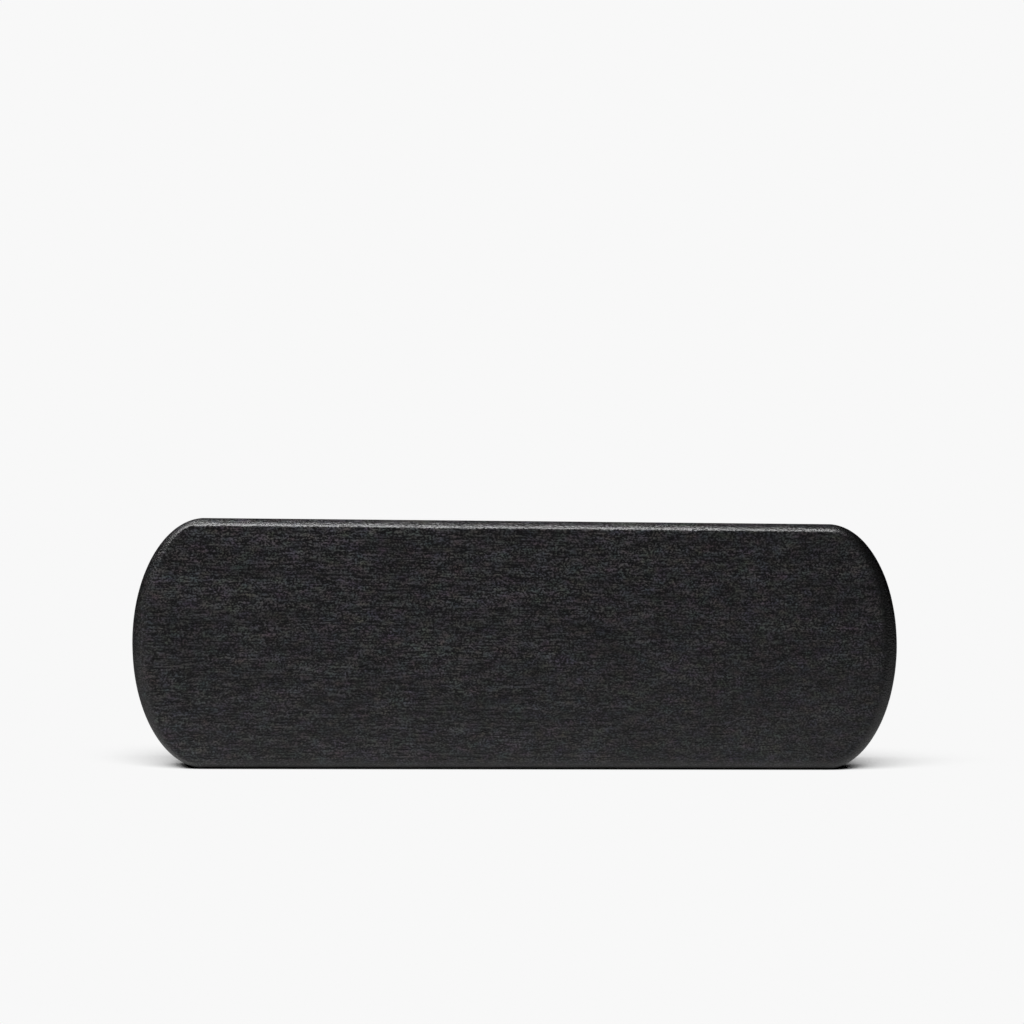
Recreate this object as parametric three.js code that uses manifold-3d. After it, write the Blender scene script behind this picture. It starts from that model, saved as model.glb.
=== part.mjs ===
// A shoe brush: a round-ended hardwood block with rows of blind holes. Each hole holds a tuft of hair,
// folded round a wire staple whose legs are driven into the wood below the hole.
// Millimetres, +Z up. The block stands on a long edge, its back towards -Y and its bristles towards +Y.
import * as THREE from "three";
import { mergeVertices } from "three/addons/utils/BufferGeometryUtils.js";
import Module from "manifold-3d";

const wasm = await Module();
wasm.setup();

// Wood block
const BLOCK_LENGTH = 171;
const BLOCK_WIDTH = 55;
const BLOCK_THICKNESS = 20;
const END_DEPTH = 16; // reach of each elliptical end past the straight long edges
const EDGE_ROUND = 2; // round-over along the edges of both faces

// Bristle field: rows run along the block, and rows of unlike count are staggered by half a pitch
const ROW_TUFTS = [13, 14, 14, 13];
const FIELD_END_MARGIN = 10.75; // tip of the block to the first hole centre of the longest rows
const FIELD_SIDE_MARGIN = 8.75; // long edge of the block to the hole centres of the outer rows

// Holes and the folded roots in them
const HOLE_DIAMETER = 6.4;
const WOOD_BEHIND_HOLES = 9;
const FIT = 0.3; // clearance round every piece that sits in another

// Slice of the bristle face that carries one row of strands
const SLICE_THICKNESS = 2.2;
const SLICE_BORDER = 0.8; // wood beyond the rim of the row's holes

// Strands
const STRANDS_PER_TUFT = 7; // one in the middle, the others in a ring
const BRISTLE_LENGTH = 25;
const STRAND_BASE_RADIUS = 0.8;
const STRAND_TIP_RADIUS = 0.65;
const ROOTED = 0.6; // how far strands and roots reach into the slice that joins them
const ROOT_RIM = 0.35; // hair between the ring of strands and the rim of the root
const TUFT_TIP_GAP = 1.6; // clear space between neighbouring tufts at their trimmed ends
const TUFT_TURN = Math.PI * (3 - Math.sqrt(5)); // each tuft's ring is turned on from the last by this angle

// Wire staples
const WIRE = 1;
const STAPLE_WALL_GAP = 0.6; // staple's side to the wall of its hole
const FOLD_HEIGHT = 1.7; // floor of the hole to the underside of the staple's bridge
const STAPLE_BITE = 5; // how far the legs go into the wood below the hole
const LEG_POINT = 1.2; // length of the chisel point on each leg

// Facets
const END_SEGMENTS = 10;
const ROUND_SEGMENTS = 3;
const SLICE_END_SEGMENTS = 4;
const BEND_SEGMENTS = 1;
const HOLE_SIDES = 8;
const STRAND_SIDES = 3;
const MERGE_DISTANCE = 1e-4;
const CUT_PAST = 1; // how far a cutter runs out past the face that it opens

const longestRow = Math.max(...ROW_TUFTS);
const tuftPitch = (BLOCK_LENGTH - 2 * FIELD_END_MARGIN) / (longestRow - 1);
const rowPitch = (BLOCK_WIDTH - 2 * FIELD_SIDE_MARGIN) / (ROW_TUFTS.length - 1);
const sliceWidth = HOLE_DIAMETER + 2 * SLICE_BORDER;
const sliceFloor = BLOCK_THICKNESS - SLICE_THICKNESS;
const rootRadius = HOLE_DIAMETER / 2 - FIT;
const ringBaseRadius = rootRadius - ROOT_RIM - STRAND_BASE_RADIUS;
const ringTipRadius = (Math.min(tuftPitch, rowPitch) - TUFT_TIP_GAP) / 2 - STRAND_TIP_RADIUS;
const stapleWidth = HOLE_DIAMETER - 2 * STAPLE_WALL_GAP;
const stapleTip = WOOD_BEHIND_HOLES - STAPLE_BITE;
const bridgeTop = WOOD_BEHIND_HOLES + FOLD_HEIGHT + WIRE;

const stainedWood = { color: 0x2a292b, roughness: 0.5, metalness: 0 };
const horsehair = { color: 0x1c1613, roughness: 0.7, metalness: 0 };
const steelWire = { color: 0xb4b7ba, roughness: 0.35, metalness: 1 };

// A closed geometry as a solid that can be joined and cut.
function solidOf(geometry) {
  geometry.deleteAttribute("normal");
  geometry.deleteAttribute("uv");
  const merged = mergeVertices(geometry, MERGE_DISTANCE);
  const vertProperties = merged.getAttribute("position").array;
  const triVerts = new Uint32Array(merged.index.array);
  return new wasm.Manifold(new wasm.Mesh({ numProp: 3, vertProperties, triVerts }));
}

function meshOf(name, solid, finish) {
  const { vertProperties, triVerts } = solid.getMesh();
  const geometry = new THREE.BufferGeometry();
  geometry.setAttribute("position", new THREE.BufferAttribute(vertProperties, 3));
  geometry.setIndex(new THREE.BufferAttribute(triVerts, 1));
  geometry.computeVertexNormals();
  const mesh = new THREE.Mesh(geometry, new THREE.MeshStandardMaterial(finish));
  mesh.name = name;
  return mesh;
}

// An outline with straight long edges and half-elliptical ends.
function roundEnded(length, width, endDepth) {
  const straight = length / 2 - endDepth;
  const outline = new THREE.Shape();
  outline.moveTo(-straight, -width / 2);
  outline.lineTo(straight, -width / 2);
  outline.absellipse(straight, 0, endDepth, width / 2, -Math.PI / 2, Math.PI / 2, false);
  outline.lineTo(-straight, width / 2);
  outline.absellipse(-straight, 0, endDepth, width / 2, Math.PI / 2, 1.5 * Math.PI, false);
  return outline;
}

// An outline raised straight up between two heights.
function raised(outline, low, high, curveSegments) {
  const options = { depth: high - low, bevelEnabled: false, curveSegments };
  return new THREE.ExtrudeGeometry(outline, options).translate(0, 0, low);
}

// A regular polygon whose first corner lies at the given angle.
function polygon(radius, sides, turn) {
  const corners = Array.from({ length: sides }, (_, i) => {
    const angle = turn + (2 * Math.PI * i) / sides;
    return new THREE.Vector2(radius * Math.cos(angle), radius * Math.sin(angle));
  });
  return new THREE.Shape(corners);
}

// A round prism between two heights, with a flat facing along the row.
function roundPrism(radius, low, high) {
  return solidOf(raised(polygon(radius, HOLE_SIDES, Math.PI / HOLE_SIDES), low, high));
}

// A U-shaped wire staple, its bridge across the hole along the row and its pointed legs in the wood.
function bentStaple() {
  const half = stapleWidth / 2;
  const inner = half - WIRE;
  const underBridge = bridgeTop - WIRE;
  const outline = new THREE.Shape();
  outline.moveTo(-half, stapleTip + LEG_POINT);
  outline.lineTo(-half, underBridge);
  outline.absarc(-inner, underBridge, WIRE, Math.PI, Math.PI / 2, true);
  outline.absarc(inner, underBridge, WIRE, Math.PI / 2, 0, true);
  outline.lineTo(half, stapleTip + LEG_POINT);
  outline.lineTo(inner, stapleTip);
  outline.lineTo(inner, underBridge);
  outline.lineTo(-inner, underBridge);
  outline.lineTo(-inner, stapleTip);
  return solidOf(raised(outline, -WIRE / 2, WIRE / 2, BEND_SEGMENTS).rotateX(Math.PI / 2));
}

// The room that a staple takes up with its clearance, square at the bends and at the legs' ends.
function stapleRoom() {
  const half = stapleWidth / 2 + FIT;
  const inner = stapleWidth / 2 - WIRE - FIT;
  const top = bridgeTop + FIT;
  const underBridge = bridgeTop - WIRE - FIT;
  const tip = stapleTip - FIT;
  const outline = new THREE.Shape();
  outline.moveTo(-half, tip);
  outline.lineTo(-half, top);
  outline.lineTo(half, top);
  outline.lineTo(half, tip);
  outline.lineTo(inner, tip);
  outline.lineTo(inner, underBridge);
  outline.lineTo(-inner, underBridge);
  outline.lineTo(-inner, tip);
  const side = WIRE / 2 + FIT;
  return solidOf(raised(outline, -side, side).rotateX(Math.PI / 2));
}

// A round-ended bar over one row of holes, between two heights.
function rowBar(tufts, width, low, high) {
  const outline = roundEnded((tufts - 1) * tuftPitch + width, width, width / 2);
  return solidOf(raised(outline, low, high, SLICE_END_SEGMENTS));
}

// One tapered strand that leans out from the middle of its tuft and is trimmed level at its tip.
function strand(angle, baseReach, tipReach) {
  const low = BLOCK_THICKNESS - ROOTED;
  const high = BLOCK_THICKNESS + BRISTLE_LENGTH;
  const hair = raised(polygon(1, STRAND_SIDES, angle), low, high);
  const points = hair.getAttribute("position");
  for (let i = 0; i < points.count; i++) {
    const along = (points.getZ(i) - low) / (high - low);
    const radius = THREE.MathUtils.lerp(STRAND_BASE_RADIUS, STRAND_TIP_RADIUS, along);
    const reach = THREE.MathUtils.lerp(baseReach, tipReach, along);
    points.setX(i, points.getX(i) * radius + reach * Math.cos(angle));
    points.setY(i, points.getY(i) * radius + reach * Math.sin(angle));
  }
  return solidOf(hair);
}

// The places of one row's tufts, in the plane of the bristle face.
function rowPlaces(row) {
  const tufts = ROW_TUFTS[row];
  const across = (row - (ROW_TUFTS.length - 1) / 2) * rowPitch;
  return Array.from({ length: tufts }, (_, i) => [(i - (tufts - 1) / 2) * tuftPitch, across]);
}

// The strands of one tuft above its folded root, turned about the tuft's middle.
function tuft(turn) {
  const ring = STRANDS_PER_TUFT - 1;
  const root = roundPrism(rootRadius, WOOD_BEHIND_HOLES + FIT, sliceFloor + ROOTED);
  let bundle = root.add(strand(turn, 0, 0));
  for (let i = 0; i < ring; i++) {
    const angle = turn + (2 * Math.PI * i) / ring;
    bundle = bundle.add(strand(angle, ringBaseRadius, ringTipRadius));
  }
  return bundle;
}

// A blind hole with the two cuts that the staple's legs make in its floor.
function drilledHole() {
  return roundPrism(HOLE_DIAMETER / 2, WOOD_BEHIND_HOLES, BLOCK_THICKNESS + CUT_PAST).add(stapleRoom());
}

function woodBlock() {
  const outline = roundEnded(BLOCK_LENGTH, BLOCK_WIDTH, END_DEPTH);
  const blank = new THREE.ExtrudeGeometry(outline, {
    depth: BLOCK_THICKNESS - 2 * EDGE_ROUND,
    bevelThickness: EDGE_ROUND,
    bevelSize: EDGE_ROUND,
    bevelOffset: -EDGE_ROUND,
    bevelSegments: ROUND_SEGMENTS,
    curveSegments: END_SEGMENTS,
  });
  blank.translate(0, 0, EDGE_ROUND);
  const hole = drilledHole();
  let block = solidOf(blank);
  ROW_TUFTS.forEach((tufts, row) => {
    const places = rowPlaces(row);
    const pocket = rowBar(tufts, sliceWidth + 2 * FIT, sliceFloor - FIT, BLOCK_THICKNESS + CUT_PAST);
    block = block.subtract(pocket.translate(0, places[0][1], 0));
    places.forEach(([x, y]) => {
      block = block.subtract(hole.translate(x, y, 0));
    });
  });
  return meshOf("wood_block", block, stainedWood);
}

function tuftRow(row) {
  const places = rowPlaces(row);
  const room = stapleRoom();
  let strip = rowBar(places.length, sliceWidth, sliceFloor, BLOCK_THICKNESS).translate(0, places[0][1], 0);
  places.forEach(([x, y], i) => {
    const turned = tuft((row * longestRow + i) * TUFT_TURN);
    strip = strip.add(turned.translate(x, y, 0)).subtract(room.translate(x, y, 0));
  });
  return meshOf(`tuft_row_${row + 1}`, strip, horsehair);
}

function rowStaples(row) {
  const staple = bentStaple();
  return rowPlaces(row).map(([x, y], i) => {
    const mesh = meshOf(`staple_${row + 1}_${String(i + 1).padStart(2, "0")}`, staple, steelWire);
    mesh.position.set(x, y, 0);
    return mesh;
  });
}

// The brush is put together back down and bristles up, then turned on to its long edge.
const brush = new THREE.Group();
brush.rotation.x = -Math.PI / 2;
brush.position.set(0, -(BLOCK_THICKNESS + BRISTLE_LENGTH) / 2, BLOCK_WIDTH / 2);
brush.add(woodBlock());
ROW_TUFTS.forEach((_, row) => brush.add(tuftRow(row), ...rowStaples(row)));

export default new THREE.Group().add(brush);
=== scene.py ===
"""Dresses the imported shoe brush: a black-stained wood block, rows of hair tufts and their wire staples."""

import math
import random
from collections import namedtuple

import bmesh
import bpy
import numpy as np
from bpy.props import FloatProperty, FloatVectorProperty, IntProperty, PointerProperty
from mathutils import Matrix, Vector


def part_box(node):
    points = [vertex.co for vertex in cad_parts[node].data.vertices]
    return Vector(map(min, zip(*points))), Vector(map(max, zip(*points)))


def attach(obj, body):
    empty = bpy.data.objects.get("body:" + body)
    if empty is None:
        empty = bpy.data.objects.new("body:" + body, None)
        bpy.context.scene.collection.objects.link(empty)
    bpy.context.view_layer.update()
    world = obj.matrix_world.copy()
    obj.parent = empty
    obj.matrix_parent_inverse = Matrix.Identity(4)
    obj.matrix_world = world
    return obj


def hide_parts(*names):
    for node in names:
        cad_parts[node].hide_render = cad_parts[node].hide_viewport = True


bl_info = {
    "name": "Shoe Brush",
    "version": (1, 0, 0),
    "blender": (4, 5, 0),
    "location": "View3D > Sidebar > Shoe Brush",
    "description": "Models a stained wood shoe brush with its hair tufts, and a pale studio around it",
    "category": "Add Mesh",
}

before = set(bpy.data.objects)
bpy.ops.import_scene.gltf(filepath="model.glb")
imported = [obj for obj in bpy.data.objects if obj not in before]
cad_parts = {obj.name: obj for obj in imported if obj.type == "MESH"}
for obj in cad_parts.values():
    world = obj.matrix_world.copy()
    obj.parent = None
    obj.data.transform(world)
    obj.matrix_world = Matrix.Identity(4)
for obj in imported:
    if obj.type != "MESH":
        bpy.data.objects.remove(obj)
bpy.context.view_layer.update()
MM = 0.001

BLOCK_LOW, BLOCK_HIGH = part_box("wood_block")
BLOCK_MIDDLE = (BLOCK_LOW + BLOCK_HIGH) / 2
BLOCK_SIZE = BLOCK_HIGH - BLOCK_LOW
TIP_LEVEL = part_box("tuft_row_1")[1].y
STAPLE_NODES = sorted(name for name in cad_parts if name.startswith("staple_"))
ROW_NODES = sorted(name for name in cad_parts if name.startswith("tuft_row_"))

# Steps and fineness of the modelled shapes
END_POINTS = 160
EDGE_CUTS = 34
ROUNDING_STEPS = 7
HOLE_POINTS = 24
SANDING_WAVES = 7 * MM
SMOOTH_ANGLE = math.radians(30)
HAIR_SIDES = 3
HAIR_STEPS = 4
HAIR_BOW = 0.35 * MM
HAIR_TAPER = 0.93
HAIR_THICKNESS = (0.8, 1.15)
HAIR_TURN_SCATTER = 0.2
TIP_SQUARENESS = 0.8
TUFT_PATTERNS = 3
ROW_SEED = 7
GOLDEN_ANGLE = math.pi * (3 - math.sqrt(5))
TINY = 0.002 * MM

Ring = namedtuple("Ring", "level half_length half_width end_depths")
Pattern = namedtuple("Pattern", "size detail roughness")
Fall = namedtuple("Fall", "axis span levels")
Softbox = namedtuple("Softbox", "place tilt size")

# Turn of every noise pattern, and the span that its values mostly fill
NOISE_TURN = (0.4, 0.7, 0.9)
NOISE_SPAN = (0.30, 0.70)

# Grain and stain of the wood, with painted light and shade
FLECKS = Pattern((0.45 * MM, 0.34 * MM, 0.34 * MM), 0.0, 0.5)
FIBRES = Pattern((3.4 * MM, 0.34 * MM, 0.34 * MM), 0.0, 0.5)
BANDS = Pattern((26 * MM, 2.4 * MM, 2.4 * MM), 3.0, 0.6)
PATCHES = Pattern((11 * MM, 7 * MM, 7 * MM), 2.0, 0.5)
TINTS = Pattern((3 * MM, 2 * MM, 2 * MM), 1.0, 0.5)
FLECK_WEIGHT = 1.7
FIBRE_MIDDLE = 0.5
# Painted light: the long fibres fade towards the right, as if less light fell there.
FIBRE_WEIGHT = (Fall("X", (-0.02, 0.085), (1.0, 0.5)),)
GRAIN_SPAN = (0.69, 1.34)
BAND_LEVELS = (0.55, 1.15)
PATCH_LEVELS = (0.80, 1.20)
TINT_SHARE = 0.50
PALE_SHARE = 0.23
# Painted light: the grain's contrast is raised towards the top and left and lowered towards the bottom and
# right, as if lit from the upper left.
PAINTED_LIGHT_CONTRAST = (
    Fall("X", (-0.02, 0.085), (1.02, 0.9)),
    Fall("Z", (0.0, 0.055), (0.9, 1.1)),
)
RUBBED_SPAN = (0.42, 0.66)
RUBBED_LEVELS = (0.0, 0.3)
# Painted shade: the right end and the back beside it are darkened far more than the left end, as if turned
# away from the light; the left end keeps only the end grain's darker stain, and the right end's painted
# shade eases near the floor.
FULL_SHADED_SOAK = 0.3
RIGHT_SHADED_SOAK = (Fall("Z", (0.008, 0.03), (0.3, 1.0)),)
RIGHT_SHADED_SOAK_LEVELS = (1.0, 0.15)
LEFT_SOAK_SPAN = (-1.0, -0.5)
LEFT_SOAK_LEVELS = (0.35, 1.0)
WOOD_GLOSS_LEVELS = (0.27, 0.35)
EDGE_SPAN = (0.0, 0.5)
EDGE_RELIEF_LEVELS = (1.0, 1.5)
WOOD_RELIEF = {"Strength": 0.6, "Distance": 0.07 * MM}

# Shades and gloss of the hair
RIPPLE = Pattern((0.5 * MM, 6 * MM, 0.5 * MM), 2.0, 0.5)
RIPPLE_SPAN = (0.3, 0.7)
RIPPLE_LEVELS = (0.6, 1.0)
HAIR_LENGTH_LEVELS = (0.75, 1.35)
HAIR_GLOSS_LEVELS = (0.34, 0.48)

# Finish of the staple wire
DULL_PATCHES = Pattern((1.2 * MM, 1.2 * MM, 1.2 * MM), 3.0, 0.6)
DULL_SPAN = (0.45, 0.70)
DRAW_MARKS = Pattern((2.0 * MM, 0.12 * MM, 0.12 * MM), 1.0, 0.5)
WIRE_GLOSS_LEVELS = (0.28, 0.55)
WIRE_RELIEF = {"Strength": 0.2, "Distance": 0.02 * MM}

# Floor, room, lamps and camera
FLOOR_SIZE = 12
FLOOR_CUTS = 3
FLOOR_GAP = 0.1 * MM
FLOOR_GREY = (0.5, 0.5, 0.5, 1.0)
SKY_SAMPLES = 24
SHADOW_SIDE = Vector((-0.40, -1.33, 1.0)).normalized()
STRAIGHT_UP = Vector((0, 0, 1))
CONTACT_SPAN = (-0.02, 0.24)
SHADOW_FILL = (Fall("Y", (-0.005, 0.04), (0.0, 0.45)),)
FLOOR_REFLECTION = (
    Fall("Y", (-0.25, -0.04), (0.155, 0.68)),
    Fall("Y", (-0.03, 0.02), (1.0, 0.3)),
    Fall("X", (-0.18, -0.08), (1.05, 1.0)),
    Fall("X", (0.08, 0.15), (1.0, 0.8)),
)
ROOM_REFLECTION = (
    Fall("X", (-0.35, 0.7), (0.50, 0.05)),
    Fall("X", (-0.8, -0.35), (0.38, 1.0)),
    Fall("Y", (-1.0, -0.55), (0.16, 1.0)),
    Fall("Y", (-0.6, 0.35), (1.0, 0.03)),
    Fall("Z", (0.0, 0.6), (1.0, 2.2)),
)
PANEL_WAY = Vector((-0.45, 0.30, 0.84)).normalized()
PANEL_SPAN = (0.925, 0.985)
PANEL_LEVELS = (0.0, 5.5)
WHITE = (1.0, 1.0, 1.0, 1.0)
TOP_SOFTBOX = Softbox((-0.095, -0.12, 0.31), 0, (0.50, 0.10))
FILL_SOFTBOX = Softbox((0.12, 0.42, 0.24), math.radians(-65), (0.50, 0.30))
SENSOR_WIDTH = 36


def row_of(staple):
    """The number of the tuft row that a staple belongs to, from its name."""
    return int(staple.split("_")[1])


def tuft_places(row=None):
    """The middle of each tuft where it leaves the wood, in one row or in all of them."""
    places = []
    for staple in STAPLE_NODES:
        if row in (None, row_of(staple)):
            low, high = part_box(staple)
            middle = (low + high) / 2
            places.append(Vector((middle.x, BLOCK_HIGH.y, middle.z)))
    return places


class WoodBlockSettings(bpy.types.PropertyGroup):
    """Sizes and colours of the stained wood block."""

    end_depth: FloatProperty(
        name="End depth",
        description="How far each curved end reaches along the block",
        default=16 * MM,
        unit="LENGTH",
    )
    edge_rounding: FloatProperty(
        name="Edge rounding",
        description="Width of the rounding along the long edges of the back",
        default=1.75 * MM,
        unit="LENGTH",
    )
    end_rounding: FloatProperty(
        name="End rounding",
        description="Width of the rounding round the two ends of the back",
        default=3.1 * MM,
        unit="LENGTH",
    )
    left_back_depth: FloatProperty(
        name="Left end of the back",
        description="How far the curved left end of the flat back reaches along the block",
        default=10.2 * MM,
        unit="LENGTH",
    )
    right_back_depth: FloatProperty(
        name="Right end of the back",
        description="How far the curved right end of the flat back reaches along the block",
        default=12.5 * MM,
        unit="LENGTH",
    )
    rounding_start: FloatProperty(
        name="Rounding start",
        description="Tilt at which the rounding leaves the flat back",
        default=math.radians(33),
        subtype="ANGLE",
    )
    crease_softness: FloatProperty(
        name="Crease softness",
        description="Width over which the crease between back and rounding is broken",
        default=0.18 * MM,
        unit="LENGTH",
    )
    bristle_side_radius: FloatProperty(
        name="Bristle side radius",
        description="Radius of the rounding on the bristle side",
        default=2 * MM,
        unit="LENGTH",
    )
    # Painted shade: this is also how far the right end's painted shade reaches onto the flat back, beside
    # the end grain's darker stain.
    shaded_soak_reach: FloatProperty(
        name="Soak reach",
        description="How far the darker stain of the end grain reaches onto the flat back",
        default=1.1 * MM,
        unit="LENGTH",
    )
    sanding_unevenness: FloatProperty(
        name="Sanding unevenness",
        description="How much hand sanding has varied the rounded edges",
        default=0.12 * MM,
        unit="LENGTH",
    )
    hole_diameter: FloatProperty(
        name="Hole diameter",
        description="Diameter of the drilled tuft holes",
        default=6.4 * MM,
        unit="LENGTH",
    )
    hole_depth: FloatProperty(
        name="Hole depth",
        description="Depth of the drilled tuft holes",
        default=11 * MM,
        unit="LENGTH",
    )
    hole_rim: FloatProperty(
        name="Hole rim",
        description="Width of the broken edge round each hole",
        default=0.35 * MM,
        unit="LENGTH",
    )
    stain_colour: FloatVectorProperty(
        name="Stain",
        description="Colour of the stain where it lies deepest",
        default=(0.0034, 0.0031, 0.0040, 1.0),
        size=4,
        subtype="COLOR",
    )
    fibre_colour: FloatVectorProperty(
        name="Fibre",
        description="Colour of the fibres that took less stain",
        default=(0.0690, 0.0668, 0.0712, 1.0),
        size=4,
        subtype="COLOR",
    )
    worn_colour: FloatVectorProperty(
        name="Worn edge",
        description="Colour of the rounded edges where the stain is rubbed thin",
        default=(0.040, 0.037, 0.034, 1.0),
        size=4,
        subtype="COLOR",
    )


class BristleSettings(bpy.types.PropertyGroup):
    """Sizes and colours of the hair tufts."""

    hairs: IntProperty(
        name="Hairs",
        description="Number of hairs in each tuft",
        default=420,
    )
    hair_diameter: FloatProperty(
        name="Hair diameter",
        description="Thickness of one hair at its root",
        default=0.32 * MM,
        unit="LENGTH",
    )
    root_radius: FloatProperty(
        name="Root radius",
        description="Radius of a tuft where it leaves its hole",
        default=3.0 * MM,
        unit="LENGTH",
    )
    tip_radius: FloatProperty(
        name="Tip radius",
        description="Half the width of a tuft at its trimmed tips",
        default=5.9 * MM,
        unit="LENGTH",
    )
    tip_scatter: FloatProperty(
        name="Tip scatter",
        description="How far the tips stray from an even spread",
        default=0.6 * MM,
        unit="LENGTH",
    )
    rooted_depth: FloatProperty(
        name="Rooted depth",
        description="Length of hair that shows down in the hole",
        default=3.0 * MM,
        unit="LENGTH",
    )
    trim_unevenness: FloatProperty(
        name="Trim unevenness",
        description="How far a tip may stop short of the trimmed level",
        default=0.7 * MM,
        unit="LENGTH",
    )
    dark_colour: FloatVectorProperty(
        name="Dark hair",
        description="Colour of the darkest hairs",
        default=(0.016, 0.0135, 0.012, 1.0),
        size=4,
        subtype="COLOR",
    )
    brown_colour: FloatVectorProperty(
        name="Brown hair",
        description="Colour of the lightest hairs",
        default=(0.095, 0.058, 0.037, 1.0),
        size=4,
        subtype="COLOR",
    )


class StapleSettings(bpy.types.PropertyGroup):
    """Colours of the wire staples."""

    wire_colour: FloatVectorProperty(
        name="Wire",
        description="Colour of the bright drawn wire",
        default=(0.55, 0.54, 0.52, 1.0),
        size=4,
        subtype="COLOR",
    )
    tarnish_colour: FloatVectorProperty(
        name="Tarnish",
        description="Colour of the wire where it has dulled",
        default=(0.24, 0.21, 0.18, 1.0),
        size=4,
        subtype="COLOR",
    )


class StageSettings(bpy.types.PropertyGroup):
    """The camera's place, the lamps and the pale room."""

    camera_distance: FloatProperty(
        name="Camera distance",
        description="Distance from the camera to the middle of the back",
        default=740.5 * MM,
        unit="LENGTH",
    )
    camera_azimuth: FloatProperty(
        name="Camera azimuth",
        description="How far the camera stands round to the right of the back",
        default=math.radians(-6.761),
        subtype="ANGLE",
    )
    camera_height: FloatProperty(
        name="Camera height",
        description="Height of the camera above the floor",
        default=55 * MM,
        unit="LENGTH",
    )
    camera_pan: FloatProperty(
        name="Camera pan",
        description="How far the camera looks to the right of the middle of the back",
        default=math.radians(-0.1805),
        subtype="ANGLE",
    )
    camera_tilt: FloatProperty(
        name="Camera tilt",
        description="How far the camera looks up",
        default=math.radians(0.1530),
        subtype="ANGLE",
    )
    camera_roll: FloatProperty(
        name="Camera roll",
        description="Turn of the camera about its line of sight",
        default=math.radians(0.5695),
        subtype="ANGLE",
    )
    focal_length: FloatProperty(
        name="Focal length",
        description="Focal length on a 36 mm wide sensor, in millimetres",
        default=117.62,
        unit="CAMERA",
    )
    background: FloatProperty(
        name="Background",
        description="Level of the pale floor and backdrop",
        default=0.9387,
        min=0.0,
        max=1.0,
        subtype="FACTOR",
    )
    ambient: FloatProperty(
        name="Ambient",
        description="Level of the soft light from all round",
        default=0.08,
        min=0.0,
        max=1.0,
        subtype="FACTOR",
    )
    shadow_reach: FloatProperty(
        name="Shadow reach",
        description="Distance over which the floor is shaded by the object",
        default=74 * MM,
        unit="LENGTH",
    )
    contact_reach: FloatProperty(
        name="Contact reach",
        description="Distance over which the floor darkens right under the wood",
        default=4 * MM,
        unit="LENGTH",
    )
    shadow_full: FloatProperty(
        name="Full shadow",
        description="Share of open sky below which the floor is in full shadow",
        default=0.485,
        min=0.0,
        max=1.0,
        subtype="FACTOR",
    )
    shadow_clear: FloatProperty(
        name="Clear floor",
        description="Share of open sky above which the floor shows no shadow",
        default=0.806,
        min=0.0,
        max=1.0,
        subtype="FACTOR",
    )
    shadow_curve: FloatProperty(
        name="Shadow curve",
        description="How quickly the floor brightens between full shadow and clear floor",
        default=0.40,
    )
    softbox_power: FloatProperty(
        name="Softbox power",
        description="Power of the long lamp above the back of the brush",
        default=2.1,
        unit="POWER",
    )
    fill_power: FloatProperty(
        name="Fill power",
        description="Power of the soft lamp on the bristle side",
        default=2.4,
        unit="POWER",
    )


def start_piece():
    """Leaves edit mode and clears the selection, so that the next primitive is alone in it."""
    if bpy.context.mode != "OBJECT":
        bpy.ops.object.mode_set(mode="OBJECT")
    bpy.ops.object.select_all(action="DESELECT")


def make_active(piece):
    """Selects one object alone and makes it the active one."""
    start_piece()
    piece.select_set(True)
    bpy.context.view_layer.objects.active = piece


def apply_place():
    """Puts the selected objects' place, turn and scale into their meshes."""
    bpy.ops.object.transform_apply(location=True, rotation=True, scale=True)


def pick(piece, kind, test):
    """In edit mode, selects the vertices, edges or faces that pass a test."""
    bpy.ops.mesh.select_mode(type=kind)
    bpy.ops.mesh.select_all(action="DESELECT")
    mesh = bmesh.from_edit_mesh(piece.data)
    parts = {"VERT": mesh.verts, "EDGE": mesh.edges, "FACE": mesh.faces}[kind]
    for part in parts:
        if test(part):
            part.select_set(True)
    mesh.select_flush_mode()
    bmesh.update_edit_mesh(piece.data)


def apply_modifier(piece, kind, **settings):
    """Adds a modifier with its settings and applies it."""
    make_active(piece)
    modifier = piece.modifiers.new(kind.title(), kind)
    for name, value in settings.items():
        setattr(modifier, name, value)
    bpy.ops.object.modifier_apply(modifier=modifier.name)


def hand_over(piece, name, slot, *nodes):
    """Names a finished piece, ties it to the body and hides the nodes that it stands in for."""
    piece.name = name
    piece.data.name = name
    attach(piece, "root")
    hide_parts(*nodes)


def add_node(tree, kind, inputs=None, **settings):
    """Adds a shader node, sets its options and fills or links its inputs."""
    made = tree.nodes.new(kind)
    for name, value in settings.items():
        setattr(made, name, value)
    for name, value in (inputs or {}).items():
        socket = made.inputs[name]
        if isinstance(value, bpy.types.NodeSocket):
            tree.links.new(value, socket)
        else:
            socket.default_value = value
    return made


def new_material(name):
    """A material with only an output and a principled shader, returned with its tree and shader."""
    material = bpy.data.materials.new(name)
    material.use_nodes = True
    tree = material.node_tree
    tree.nodes.clear()
    shader = add_node(tree, "ShaderNodeBsdfPrincipled")
    add_node(tree, "ShaderNodeOutputMaterial", {"Surface": shader.outputs["BSDF"]})
    return material, tree, shader


def stretched_noise(tree, pattern, output="Fac"):
    """Noise on object coordinates whose features have the pattern's size along X, Y and Z."""
    place = add_node(tree, "ShaderNodeTexCoord")
    scale = Vector([1 / size for size in pattern.size])
    mapping = add_node(
        tree,
        "ShaderNodeMapping",
        {"Vector": place.outputs["Object"], "Scale": scale, "Rotation": NOISE_TURN},
    )
    noise = add_node(
        tree,
        "ShaderNodeTexNoise",
        {
            "Vector": mapping.outputs["Vector"],
            "Scale": 1.0,
            "Detail": pattern.detail,
            "Roughness": pattern.roughness,
        },
    )
    return noise.outputs[output]


def stored_value(tree, name):
    """A number that the mesh stores at each point."""
    return add_node(tree, "ShaderNodeAttribute", attribute_name=name).outputs["Fac"]


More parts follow.
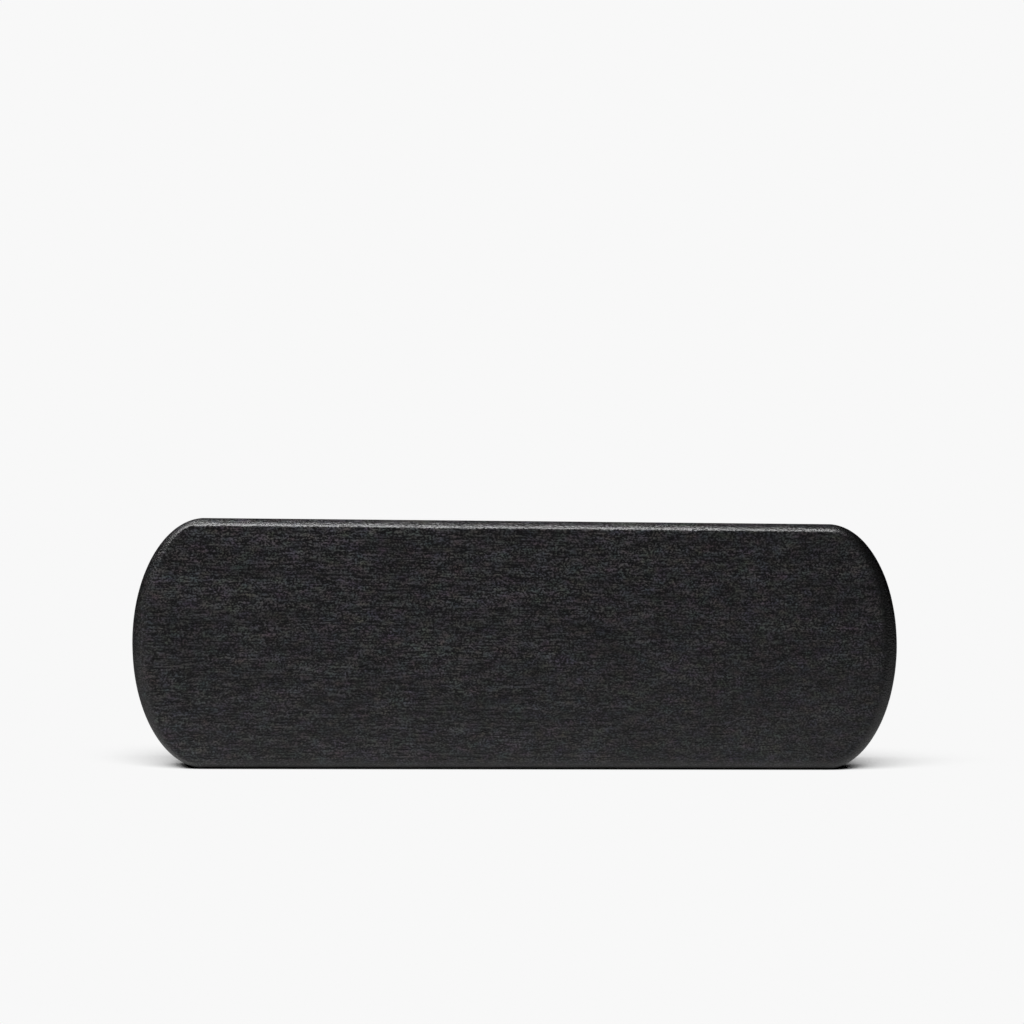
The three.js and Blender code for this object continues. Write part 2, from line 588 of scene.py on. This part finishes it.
def axes_of(tree, place):
    """The X, Y and Z of a place or direction."""
    return add_node(tree, "ShaderNodeSeparateXYZ", {0: place}).outputs


def object_axes(tree):
    """The X, Y and Z of a point in its object's own frame."""
    return axes_of(tree, add_node(tree, "ShaderNodeTexCoord").outputs["Object"])


def remap(tree, value, span, levels=(0.0, 1.0)):
    """Stretches a span of a value to a range of levels, clamped at both ends."""
    inputs = dict(enumerate((value, *span, *levels)))
    return add_node(tree, "ShaderNodeMapRange", inputs).outputs[0]


def falling_off(tree, axes, falls):
    """The product of even changes of level along X, Y and Z."""
    product = 1.0
    for fall in falls:
        level = remap(tree, axes[fall.axis], fall.span, fall.levels)
        product = arithmetic(tree, "MULTIPLY", product, level)
    return product


def arithmetic(tree, operation, first, second):
    """One sum, product or other arithmetic step on two values."""
    made = add_node(tree, "ShaderNodeMath", {0: first, 1: second}, operation=operation)
    return made.outputs[0]


def blend_colours(tree, share, first, second, how="MIX"):
    """Mixes two colours by a share."""
    made = add_node(
        tree,
        "ShaderNodeMix",
        {0: share, 6: first, 7: second},
        data_type="RGBA",
        blend_type=how,
    )
    return made.outputs[2]


def wood_grain(tree, axes, flecks, fibres):
    """The height of the grain: short flecks, and long fibres that fade towards the right as painted falloff
    of light.
    """
    streaks = arithmetic(tree, "SUBTRACT", fibres, FIBRE_MIDDLE)
    streaks = arithmetic(tree, "MULTIPLY", streaks, falling_off(tree, axes, FIBRE_WEIGHT))
    grain = arithmetic(tree, "MULTIPLY", flecks, FLECK_WEIGHT)
    return arithmetic(tree, "ADD", grain, streaks)


def pale_share(tree, axes, grain):
    """How much of the pale fibres shows through the stain; its contrast is painted light that falls off
    towards the lower right.
    """
    bands = stretched_noise(tree, BANDS)
    strength = remap(tree, bands, NOISE_SPAN, BAND_LEVELS)
    share = arithmetic(tree, "MULTIPLY", remap(tree, grain, GRAIN_SPAN), strength)
    departure = arithmetic(tree, "SUBTRACT", share, PALE_SHARE)
    # Painted light: the grain's contrast falls off towards the right and the bottom.
    contrast = falling_off(tree, axes, PAINTED_LIGHT_CONTRAST)
    departure = arithmetic(tree, "MULTIPLY", departure, contrast)
    return arithmetic(tree, "ADD", departure, PALE_SHARE)


def end_stain_and_shade(tree, axes):
    """The level that the end grain's stain leaves of the wood's colour at the two ends, with painted shade
    that makes the right end far darker.
    """
    end_grain = stored_value(tree, "end_grain")
    # Painted shade: the right end is darkened far more than the left, beyond the end grain's own stain.
    right = remap(tree, end_grain, (0.0, FULL_SHADED_SOAK))
    right = arithmetic(tree, "MULTIPLY", right, falling_off(tree, axes, RIGHT_SHADED_SOAK))
    right = remap(tree, right, (0.0, 1.0), RIGHT_SHADED_SOAK_LEVELS)
    left = remap(tree, end_grain, LEFT_SOAK_SPAN, LEFT_SOAK_LEVELS)
    return arithmetic(tree, "MULTIPLY", right, left)


def stained_wood(settings):
    """Black stain on close-grained wood: short pale fibres along X, faint mottling and thin worn edges, with
    painted light in the grain's contrast and painted shade on the right end.
    """
    material, tree, shader = new_material("black_stained_wood")
    axes = object_axes(tree)
    fibres = stretched_noise(tree, FIBRES)
    patches = stretched_noise(tree, PATCHES)
    tints = stretched_noise(tree, TINTS, "Color")
    grain = wood_grain(tree, axes, stretched_noise(tree, FLECKS), fibres)

    share = pale_share(tree, axes, grain)
    stain = blend_colours(tree, share, settings.stain_colour, settings.fibre_colour)
    cloud = remap(tree, patches, NOISE_SPAN, PATCH_LEVELS)
    stain = blend_colours(tree, 1.0, stain, cloud, "MULTIPLY")
    stain = blend_colours(tree, TINT_SHARE, stain, tints, "MULTIPLY")

    edge = stored_value(tree, "edge_wear")
    rubbed = remap(tree, patches, RUBBED_SPAN, RUBBED_LEVELS)
    rubbed = arithmetic(tree, "MULTIPLY", edge, rubbed)
    colour = blend_colours(tree, rubbed, stain, settings.worn_colour)
    # Painted shade darkens the right end, over the end grain's own darker stain at both ends.
    colour = blend_colours(tree, 1.0, colour, end_stain_and_shade(tree, axes), "MULTIPLY")

    gloss = remap(tree, fibres, NOISE_SPAN, WOOD_GLOSS_LEVELS)
    rougher = remap(tree, edge, EDGE_SPAN, EDGE_RELIEF_LEVELS)
    relief = arithmetic(tree, "MULTIPLY", grain, rougher)
    bump = add_node(tree, "ShaderNodeBump", {"Height": relief, **WOOD_RELIEF})
    tree.links.new(colour, shader.inputs["Base Color"])
    tree.links.new(gloss, shader.inputs["Roughness"])
    tree.links.new(bump.outputs["Normal"], shader.inputs["Normal"])
    return material


def horsehair(settings):
    """Dark hair in a mix of black and brown, each hair with a shade of its own and paler at the cut tip."""
    material, tree, shader = new_material("dark_horsehair")
    own = stored_value(tree, "hair_shade")
    ripple = stretched_noise(tree, RIPPLE)
    share = arithmetic(tree, "MULTIPLY", own, remap(tree, ripple, RIPPLE_SPAN, RIPPLE_LEVELS))
    colour = blend_colours(tree, share, settings.dark_colour, settings.brown_colour)
    length = (BLOCK_HIGH.y, TIP_LEVEL)
    paler = remap(tree, object_axes(tree)["Y"], length, HAIR_LENGTH_LEVELS)
    colour = blend_colours(tree, 1.0, colour, paler, "MULTIPLY")
    gloss = remap(tree, ripple, RIPPLE_SPAN, HAIR_GLOSS_LEVELS)
    tree.links.new(colour, shader.inputs["Base Color"])
    tree.links.new(gloss, shader.inputs["Roughness"])
    return material


def drawn_wire(settings):
    """Drawn steel wire with dull patches and fine draw marks."""
    material, tree, shader = new_material("drawn_wire")
    dull = remap(tree, stretched_noise(tree, DULL_PATCHES), DULL_SPAN)
    marks = stretched_noise(tree, DRAW_MARKS)
    colour = blend_colours(tree, dull, settings.wire_colour, settings.tarnish_colour)
    gloss = remap(tree, dull, (0.0, 1.0), WIRE_GLOSS_LEVELS)
    bump = add_node(tree, "ShaderNodeBump", {"Height": marks, **WIRE_RELIEF})
    shader.inputs["Metallic"].default_value = 1.0
    tree.links.new(colour, shader.inputs["Base Color"])
    tree.links.new(gloss, shader.inputs["Roughness"])
    tree.links.new(bump.outputs["Normal"], shader.inputs["Normal"])
    return material


def outline_plate(settings):
    """A flat plate with the block's outline, on the bristle face: two half ellipses and straight edges."""
    middle = Vector((BLOCK_MIDDLE.x, BLOCK_HIGH.y, BLOCK_MIDDLE.z))
    start_piece()
    bpy.ops.mesh.primitive_circle_add(
        vertices=END_POINTS,
        radius=1.0,
        fill_type="NGON",
        location=middle,
        rotation=(math.pi / 2, 0, 0),
    )
    apply_place()
    plate = bpy.context.object
    straight = BLOCK_SIZE.x / 2 - settings.end_depth
    bpy.ops.object.mode_set(mode="EDIT")
    bpy.ops.transform.resize(
        value=(settings.end_depth, 1, BLOCK_SIZE.z / 2),
        center_override=middle,
    )
    for side in (-1, 1):
        pick(plate, "VERT", lambda v: side * (v.co.x - middle.x) > TINY)
        bpy.ops.transform.translate(value=(side * straight, 0, 0))
    pick(plate, "EDGE", lambda e: e.calc_length() > straight / 2)
    bpy.ops.mesh.subdivide(number_cuts=EDGE_CUTS)
    return plate


def block_rings(settings):
    """The block's sections from the bristle face to the back."""
    half_length = BLOCK_SIZE.x / 2
    half_width = BLOCK_SIZE.z / 2
    rings = []
    even_ends = (settings.end_depth,) * 2
    radius = settings.bristle_side_radius
    for step in range(ROUNDING_STEPS + 1):
        turn = math.pi / 2 * step / ROUNDING_STEPS
        inset = radius * (1 - math.sin(turn))
        level = BLOCK_HIGH.y - radius * (1 - math.cos(turn))
        rings.append(Ring(level, half_length - inset, half_width - inset, even_ends))
    start = settings.rounding_start
    depth = settings.edge_rounding / (1 - math.sin(start))
    deepening = [
        back_depth - settings.end_depth
        for back_depth in (settings.left_back_depth, settings.right_back_depth)
    ]
    for step in range(ROUNDING_STEPS + 1):
        turn = math.pi / 2 + (start - math.pi / 2) * step / ROUNDING_STEPS
        share = (1 - math.sin(turn)) / (1 - math.sin(start))
        level = BLOCK_LOW.y + depth * (math.cos(start) - math.cos(turn))
        end = half_length - settings.end_rounding * share
        edge = half_width - settings.edge_rounding * share
        depths = [settings.end_depth + change * share for change in deepening]
        rings.append(Ring(level, end, edge, depths))
    return rings


def on_level(level):
    """A test for edges and faces whose points all lie on one level of the block."""
    return lambda part: all(abs(v.co.y - level) < TINY for v in part.verts)


def beyond(place, side):
    """A test for points on a place's level that lie further to one side than it does."""
    return lambda v: abs(v.co.y - place.y) < TINY and side * (v.co.x - place.x) > TINY


def shape_ring(block, before, after):
    """Turns the selected section from one ring's sizes to the next ring's, then selects it again."""
    middle = Vector((BLOCK_MIDDLE.x, after.level, BLOCK_MIDDLE.z))
    widening = after.half_width / before.half_width
    bpy.ops.transform.resize(value=(1, 1, widening), center_override=middle)
    for side, old_depth, new_depth in zip((-1, 1), before.end_depths, after.end_depths):
        straight = after.half_length - new_depth
        stretch = straight / (before.half_length - old_depth)
        pick(block, "VERT", beyond(middle, side))
        bpy.ops.transform.resize(value=(stretch, 1, 1), center_override=middle)
        end = middle + Vector((side * straight, 0, 0))
        pick(block, "VERT", beyond(end, side))
        deepening = new_depth / (old_depth * stretch)
        bpy.ops.transform.resize(value=(deepening, 1, 1), center_override=end)
    pick(block, "FACE", on_level(after.level))


def extrude_block(plate, settings):
    """Pulls the plate from the bristle face to the back through the block's sections."""
    even_ends = (settings.end_depth,) * 2
    before = Ring(BLOCK_HIGH.y, BLOCK_SIZE.x / 2, BLOCK_SIZE.z / 2, even_ends)
    make_active(plate)
    bpy.ops.object.mode_set(mode="EDIT")
    bpy.ops.mesh.select_all(action="SELECT")
    for ring in block_rings(settings):
        if ring.level != before.level:
            pull = (0, ring.level - before.level, 0)
            bpy.ops.mesh.extrude_region_move(TRANSFORM_OT_translate={"value": pull})
        shape_ring(plate, before, ring)
        before = ring


def soften_block(block, settings):
    """Breaks the crease round the back, holds both flat faces with a border, and adds one that bounds the
    right end's darker stain and painted shade.
    """
    pick(block, "EDGE", on_level(BLOCK_LOW.y))
    bpy.ops.mesh.bevel(offset=settings.crease_softness, segments=2, affect="EDGES")
    border = 2 * settings.crease_softness
    for level in (BLOCK_HIGH.y, BLOCK_LOW.y):
        pick(block, "FACE", on_level(level))
        bpy.ops.mesh.inset(thickness=border)
    bpy.ops.mesh.inset(thickness=settings.shaded_soak_reach - settings.crease_softness - border)
    bpy.ops.mesh.select_all(action="SELECT")
    bpy.ops.mesh.normals_make_consistent(inside=False)
    bpy.ops.object.mode_set(mode="OBJECT")


def store_values(piece, name, values):
    """Stores one number per point of a mesh for its material."""
    stored = piece.data.attributes.new(name, "FLOAT", "POINT")
    stored.data.foreach_set("value", values.astype(np.float32))


def shaded_soak_on_back(places, settings):
    """How far the right end's darker stain and painted shade reach into each point of the flat back."""
    depth = settings.right_back_depth
    width = BLOCK_SIZE.z / 2 - settings.edge_rounding
    start = BLOCK_HIGH.x - settings.end_rounding - depth
    along = np.maximum(places[0::3] - start, TINY) / depth
    across = (places[2::3] - BLOCK_MIDDLE.z) / width
    ring = np.hypot(along, across)
    slope = np.hypot(along / depth, across / width)
    inside = np.maximum(1 - ring, 0) * ring / slope
    facing = along / depth / slope * math.sin(settings.rounding_start)
    return np.minimum(facing, FULL_SHADED_SOAK) * np.clip(1 - inside / settings.shaded_soak_reach, 0, 1)


def mark_edges(block, settings):
    """Stores where the back is rounded, and how far the wood faces either end, for the end grain's stain and
    the painted shade on the right end.
    """
    count = len(block.data.vertices)
    places = np.empty(count * 3)
    block.data.vertices.foreach_get("co", places)
    normals = np.empty(count * 3)
    block.data.vertices.foreach_get("normal", normals)
    start = settings.rounding_start
    depth = settings.edge_rounding / (1 - math.sin(start)) * math.cos(start)
    share = np.clip((places[1::3] - BLOCK_LOW.y) / depth, 0, 1)
    wear = 4 * share * (1 - share)
    store_values(block, "edge_wear", wear)
    flat = places[1::3] - BLOCK_LOW.y < TINY
    end_grain = np.where(flat, shaded_soak_on_back(places, settings), normals[0::3])
    store_values(block, "end_grain", end_grain)
    group = block.vertex_groups.new(name="rounded_edge")
    for number, weight in enumerate(wear):
        group.add([number], float(weight), "REPLACE")


def sand_edges(block, settings):
    """Makes the rounded edges as slightly uneven as hand sanding leaves them."""
    waves = bpy.data.textures.new("sanding", "CLOUDS")
    waves.noise_scale = SANDING_WAVES
    apply_modifier(
        block,
        "DISPLACE",
        texture=waves,
        texture_coords="LOCAL",
        vertex_group="rounded_edge",
        strength=settings.sanding_unevenness,
        mid_level=0.5,
    )


def hole_drill(settings):
    """One body with the shape of a drilled hole, flared at its mouth, at the first tuft's place."""
    first = tuft_places()[0]
    radius = settings.hole_diameter / 2
    rim = settings.hole_rim
    start_piece()
    bpy.ops.mesh.primitive_circle_add(
        vertices=HOLE_POINTS,
        radius=radius,
        fill_type="NGON",
        location=first - Vector((0, settings.hole_depth, 0)),
        rotation=(-math.pi / 2, 0, 0),
    )
    apply_place()
    drill = bpy.context.object
    bpy.ops.object.mode_set(mode="EDIT")
    pulls = ((settings.hole_depth - rim, 1.0), (2 * rim, (radius + 2 * rim) / radius))
    level = first.y - settings.hole_depth
    for pull, widening in pulls:
        level += pull
        bpy.ops.mesh.extrude_region_move(TRANSFORM_OT_translate={"value": (0, pull, 0)})
        bpy.ops.transform.resize(
            value=(widening, 1, widening),
            center_override=(first.x, level, first.z),
        )
    bpy.ops.mesh.select_all(action="SELECT")
    bpy.ops.mesh.normals_make_consistent(inside=False)
    bpy.ops.object.mode_set(mode="OBJECT")
    return drill


def drill_holes(block, settings):
    """Drills one hole for each tuft."""
    drill = hole_drill(settings)
    places = tuft_places()
    drills = [drill]
    for place in places[1:]:
        drills.append(copy_of(drill))
        drills[-1].data.transform(Matrix.Translation(place - places[0]))
    drill = join_pieces(drills)
    apply_modifier(block, "BOOLEAN", operation="DIFFERENCE", solver="EXACT", object=drill)
    bpy.data.objects.remove(drill)


class BRUSH_OT_wood_block(bpy.types.Operator):
    """Model the stained wood block with its rounded edges and drilled holes"""

    bl_idname = "brush.wood_block"
    bl_label = "Wood Block"

    def execute(self, context):
        settings = context.scene.wood_block
        block = outline_plate(settings)
        extrude_block(block, settings)
        soften_block(block, settings)
        mark_edges(block, settings)
        sand_edges(block, settings)
        drill_holes(block, settings)
        make_active(block)
        bpy.ops.object.shade_smooth_by_angle(angle=SMOOTH_ANGLE)
        block.vertex_groups.clear()
        block.data.materials.append(stained_wood(settings))
        hand_over(block, "stained_block", "stained_wood", "wood_block")
        return {"FINISHED"}


def one_hair(settings):
    """One tapered hair standing along +Y from the bristle face, with a slight outward bow along +X."""
    rooted = settings.rooted_depth
    length = TIP_LEVEL - BLOCK_HIGH.y + rooted
    start_piece()
    bpy.ops.mesh.primitive_circle_add(
        vertices=HAIR_SIDES,
        radius=settings.hair_diameter / 2,
        fill_type="NGON",
        location=(0, -rooted, 0),
        rotation=(-math.pi / 2, 0, 0),
    )
    apply_place()
    hair = bpy.context.object
    bpy.ops.object.mode_set(mode="EDIT")
    level = -rooted
    for step in range(HAIR_STEPS):
        rise = length / HAIR_STEPS
        level += rise
        turn = math.pi * (step + 1) / HAIR_STEPS
        shift = HAIR_BOW * (math.sin(turn) - math.sin(turn - math.pi / HAIR_STEPS))
        bpy.ops.mesh.extrude_region_move(TRANSFORM_OT_translate={"value": (shift, rise, 0)})
        bpy.ops.transform.resize(
            value=(HAIR_TAPER, 1, HAIR_TAPER),
            center_override=(HAIR_BOW * math.sin(turn), level, 0),
        )
    bpy.ops.mesh.select_all(action="SELECT")
    bpy.ops.mesh.normals_make_consistent(inside=False)
    bpy.ops.object.mode_set(mode="OBJECT")
    bpy.ops.object.shade_smooth()
    hair.data.attributes.new("hair_shade", "FLOAT", "POINT")
    return hair


def hair_places(settings, draw):
    """Where each hair of a tuft stands, how it leans and how pale it is, as (matrix, shade) pairs.

    The roots fill a round hole, and the tips spread to a square that meets the next tufts.
    """
    upright = Vector((0, 1, 0))
    reach = TIP_LEVEL - BLOCK_HIGH.y
    places = []
    for number in range(settings.hairs):
        share = math.sqrt((number + 0.5) / settings.hairs)
        turn = number * GOLDEN_ANGLE + draw.uniform(-HAIR_TURN_SCATTER, HAIR_TURN_SCATTER)
        way = Vector((math.cos(turn), 0, math.sin(turn)))
        squared = way / max(abs(way.x), abs(way.z)) ** TIP_SQUARENESS
        root = way * (settings.root_radius * share)
        tip = squared * (settings.tip_radius * share)
        tip.x += draw.gauss(0, settings.tip_scatter)
        tip.z += draw.gauss(0, settings.tip_scatter)
        tip.y = reach - settings.trim_unevenness * draw.random() ** 2
        lean = upright.rotation_difference(tip - root).to_matrix().to_4x4()
        thick = draw.uniform(*HAIR_THICKNESS)
        matrix = (
            Matrix.Translation(root)
            @ lean
            @ Matrix.Rotation(draw.uniform(0, 2 * math.pi), 4, "Y")
            @ Matrix.Diagonal((thick, (tip - root).length / reach, thick, 1))
        )
        places.append((matrix, draw.random() ** 2))
    return places


def copy_of(piece):
    """A copy of an object with a mesh of its own."""
    copy = piece.copy()
    copy.data = piece.data.copy()
    bpy.context.scene.collection.objects.link(copy)
    return copy


def join_pieces(pieces):
    """Joins objects into the first of them."""
    make_active(pieces[0])
    for piece in pieces:
        piece.select_set(True)
    bpy.ops.object.join()
    return pieces[0]


def tuft_pattern(hair, settings, seed):
    """One tuft made of many copies of the hair, standing at the origin."""
    draw = random.Random(seed)
    hairs = []
    for matrix, shade in hair_places(settings, draw):
        copy = copy_of(hair)
        copy.data.transform(matrix)
        stored = copy.data.attributes["hair_shade"]
        stored.data.foreach_set("value", [shade] * len(copy.data.vertices))
        hairs.append(copy)
    return join_pieces(hairs)


def hair_row(patterns, row, draw):
    """Copies of the tuft patterns, turned by quarters, on one row of holes and joined."""
    tufts = []
    for place in tuft_places(row):
        tuft = copy_of(draw.choice(patterns))
        turn = Matrix.Rotation(draw.randrange(4) * math.pi / 2, 4, "Y")
        tuft.data.transform(Matrix.Translation(place) @ turn)
        tufts.append(tuft)
    return join_pieces(tufts)


class BRUSH_OT_hair_rows(bpy.types.Operator):
    """Model the hair tufts, row by row"""

    bl_idname = "brush.hair_rows"
    bl_label = "Hair Rows"

    def execute(self, context):
        settings = context.scene.bristles
        draw = random.Random(ROW_SEED)
        hair = one_hair(settings)
        patterns = [tuft_pattern(hair, settings, seed) for seed in range(TUFT_PATTERNS)]
        material = horsehair(settings)
        for node in ROW_NODES:
            row = int(node.split("_")[-1])
            piece = hair_row(patterns, row, draw)
            piece.data.materials.append(material)
            hand_over(piece, f"hair_row_{row}", "hair", node)
        for spare in [hair, *patterns]:
            bpy.data.objects.remove(spare)
        return {"FINISHED"}


class BRUSH_OT_staples(bpy.types.Operator):
    """Give the wire staples their finish"""

    bl_idname = "brush.staples"
    bl_label = "Wire Staples"

    def execute(self, context):
        material = drawn_wire(context.scene.staples)
        for name in STAPLE_NODES:
            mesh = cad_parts[name].data
            mesh.materials.clear()
            mesh.materials.append(material)
        return {"FINISHED"}


def seen_directly(tree):
    """1 for camera, glossy and transmission rays, and 0 for the rays that light the object."""
    path = add_node(tree, "ShaderNodeLightPath")
    seen = arithmetic(
        tree,
        "MAXIMUM",
        path.outputs["Is Glossy Ray"],
        path.outputs["Is Transmission Ray"],
    )
    return arithmetic(tree, "MAXIMUM", path.outputs["Is Camera Ray"], seen)


def open_sky(tree, toward, reach):
    """The share of open sky over a point of the floor, weighted toward a direction."""
    normal = add_node(tree, "ShaderNodeCombineXYZ", dict(enumerate(toward)))
    sky = add_node(
        tree,
        "ShaderNodeAmbientOcclusion",
        {"Distance": reach, "Normal": normal.outputs[0]},
        samples=SKY_SAMPLES,
    )
    return sky.outputs["AO"]


def floor_shadow(tree, axes, settings):
    """The floor's level under the soft shadow of the object and the close shadow where it touches."""
    sky = open_sky(tree, SHADOW_SIDE, settings.shadow_reach)
    level = remap(tree, sky, (settings.shadow_full, settings.shadow_clear))
    level = arithmetic(tree, "POWER", level, settings.shadow_curve)
    level = arithmetic(tree, "MAXIMUM", level, falling_off(tree, axes, SHADOW_FILL))
    contact = remap(tree, open_sky(tree, STRAIGHT_UP, settings.contact_reach), CONTACT_SPAN)
    return arithmetic(tree, "MULTIPLY", level, contact)


def floor_material(settings):
    """The background's own level with the object's shadow, dimmer in reflections on the object."""
    material = bpy.data.materials.new("pale_floor")
    material.use_nodes = True
    tree = material.node_tree
    tree.nodes.clear()
    axes = object_axes(tree)
    level = floor_shadow(tree, axes, settings)
    level = arithmetic(tree, "MULTIPLY", level, settings.background)
    fading = falling_off(tree, axes, FLOOR_REFLECTION)
    path = add_node(tree, "ShaderNodeLightPath")
    fading = arithmetic(tree, "MAXIMUM", fading, path.outputs["Is Camera Ray"])
    level = arithmetic(tree, "MULTIPLY", level, fading)
    shown = add_node(tree, "ShaderNodeEmission", {"Color": level, "Strength": 1.0})
    plain = add_node(tree, "ShaderNodeBsdfDiffuse", {"Color": FLOOR_GREY})
    mixed = add_node(
        tree,
        "ShaderNodeMixShader",
        {0: seen_directly(tree), 1: plain.outputs[0], 2: shown.outputs[0]},
    )
    add_node(tree, "ShaderNodeOutputMaterial", {"Surface": mixed.outputs[0]})
    return material


def pale_floor(settings):
    """A wide pale floor, shaded softly where the object stands."""
    start_piece()
    bpy.ops.mesh.primitive_plane_add(size=FLOOR_SIZE, location=(0, 0, -FLOOR_GAP))
    floor = bpy.context.object
    floor.name = "floor"
    apply_place()
    bpy.ops.object.mode_set(mode="EDIT")
    bpy.ops.mesh.subdivide(number_cuts=FLOOR_CUTS)
    bpy.ops.object.mode_set(mode="OBJECT")
    floor.data.materials.append(floor_material(settings))


def background(tree, colour, strength=1.0):
    """A plain background shader."""
    made = add_node(tree, "ShaderNodeBackground", {"Color": colour, "Strength": strength})
    return made.outputs[0]


def room_reflection(tree):
    """What the object mirrors: a room that darkens to the sides and behind, with one bright panel."""
    direction = add_node(tree, "ShaderNodeTexCoord").outputs["Generated"]
    level = falling_off(tree, axes_of(tree, direction), ROOM_REFLECTION)
    facing = add_node(
        tree,
        "ShaderNodeVectorMath",
        {0: direction, 1: PANEL_WAY},
        operation="DOT_PRODUCT",
    )
    panel = remap(tree, facing.outputs["Value"], PANEL_SPAN, PANEL_LEVELS)
    return arithmetic(tree, "ADD", level, panel)


def pale_room(settings):
    """A pale backdrop for the camera, a darker-sided room for reflections and a soft even light."""
    world = bpy.data.worlds.new("pale_room")
    bpy.context.scene.world = world
    world.use_nodes = True
    tree = world.node_tree
    tree.nodes.clear()
    path = add_node(tree, "ShaderNodeLightPath")
    room = background(tree, room_reflection(tree))
    pale = background(tree, (settings.background,) * 3 + (1.0,))
    ambient = background(tree, WHITE, settings.ambient)
    seen = add_node(
        tree,
        "ShaderNodeMixShader",
        {0: path.outputs["Is Camera Ray"], 1: room, 2: pale},
    )
    mixed = add_node(
        tree,
        "ShaderNodeMixShader",
        {0: seen_directly(tree), 1: ambient, 2: seen.outputs[0]},
    )
    add_node(tree, "ShaderNodeOutputWorld", {"Surface": mixed.outputs[0]})


def hang_softbox(name, softbox, power):
    """A rectangular softbox, tilted about the brush's length from shining straight down."""
    data = bpy.data.lights.new(name, "AREA")
    data.shape = "RECTANGLE"
    data.size, data.size_y = softbox.size
    data.energy = power
    lamp = bpy.data.objects.new(name, data)
    lamp.location = softbox.place
    lamp.rotation_euler.x = softbox.tilt
    lamp.visible_camera = False
    bpy.context.scene.collection.objects.link(lamp)
    return lamp


def place_camera(settings):
    """The camera stands almost square to the back, level with its upper edge."""
    azimuth = settings.camera_azimuth
    heading = settings.camera_pan - azimuth
    place = Vector(
        (
            settings.camera_distance * math.sin(azimuth),
            BLOCK_LOW.y - settings.camera_distance * math.cos(azimuth),
            settings.camera_height,
        )
    )
    data = bpy.data.cameras.new("camera")
    data.sensor_width = SENSOR_WIDTH
    data.lens = settings.focal_length
    camera = bpy.data.objects.new("camera", data)
    camera.matrix_world = (
        Matrix.Translation(place)
        @ Matrix.Rotation(-heading, 4, "Z")
        @ Matrix.Rotation(math.pi / 2 + settings.camera_tilt, 4, "X")
        @ Matrix.Rotation(settings.camera_roll, 4, "Z")
    )
    bpy.context.scene.collection.objects.link(camera)
    bpy.context.scene.camera = camera


class BRUSH_OT_stage(bpy.types.Operator):
    """Set up the pale floor and room, the lamps and the camera"""

    bl_idname = "brush.stage"
    bl_label = "Stage"

    def execute(self, context):
        settings = context.scene.stage
        context.scene.view_settings.view_transform = "Standard"
        pale_floor(settings)
        pale_room(settings)
        hang_softbox("softbox", TOP_SOFTBOX, settings.softbox_power)
        fill = hang_softbox("fill", FILL_SOFTBOX, settings.fill_power)
        fill.visible_glossy = False
        place_camera(settings)
        return {"FINISHED"}


class BRUSH_PT_pieces(bpy.types.Panel):
    """Lists the brush's pieces with their sizes and colours"""

    bl_idname = "BRUSH_PT_pieces"
    bl_label = "Shoe Brush"
    bl_space_type = "VIEW_3D"
    bl_region_type = "UI"
    bl_category = "Shoe Brush"

    def draw(self, context):
        for operator, group in PANEL_ROWS:
            box = self.layout.box()
            box.operator(operator.bl_idname)
            settings = getattr(context.scene, group)
            for name in settings.__annotations__:
                box.prop(settings, name)


SETTINGS = {
    "wood_block": WoodBlockSettings,
    "bristles": BristleSettings,
    "staples": StapleSettings,
    "stage": StageSettings,
}
PANEL_ROWS = (
    (BRUSH_OT_wood_block, "wood_block"),
    (BRUSH_OT_hair_rows, "bristles"),
    (BRUSH_OT_staples, "staples"),
    (BRUSH_OT_stage, "stage"),
)
CLASSES = (*SETTINGS.values(), *(operator for operator, group in PANEL_ROWS), BRUSH_PT_pieces)


def register():
    """Makes the settings, operators and panel known to Blender."""
    for cls in CLASSES:
        bpy.utils.register_class(cls)
    for name, group in SETTINGS.items():
        setattr(bpy.types.Scene, name, PointerProperty(type=group))


def unregister():
    """Takes the settings, operators and panel away again."""
    for name in SETTINGS:
        delattr(bpy.types.Scene, name)
    for cls in reversed(CLASSES):
        bpy.utils.unregister_class(cls)


def main():
    """Builds every piece and the stage."""
    register()
    bpy.ops.brush.wood_block()
    bpy.ops.brush.hair_rows()
    bpy.ops.brush.staples()
    bpy.ops.brush.stage()


if __name__ == "__main__":
    main()
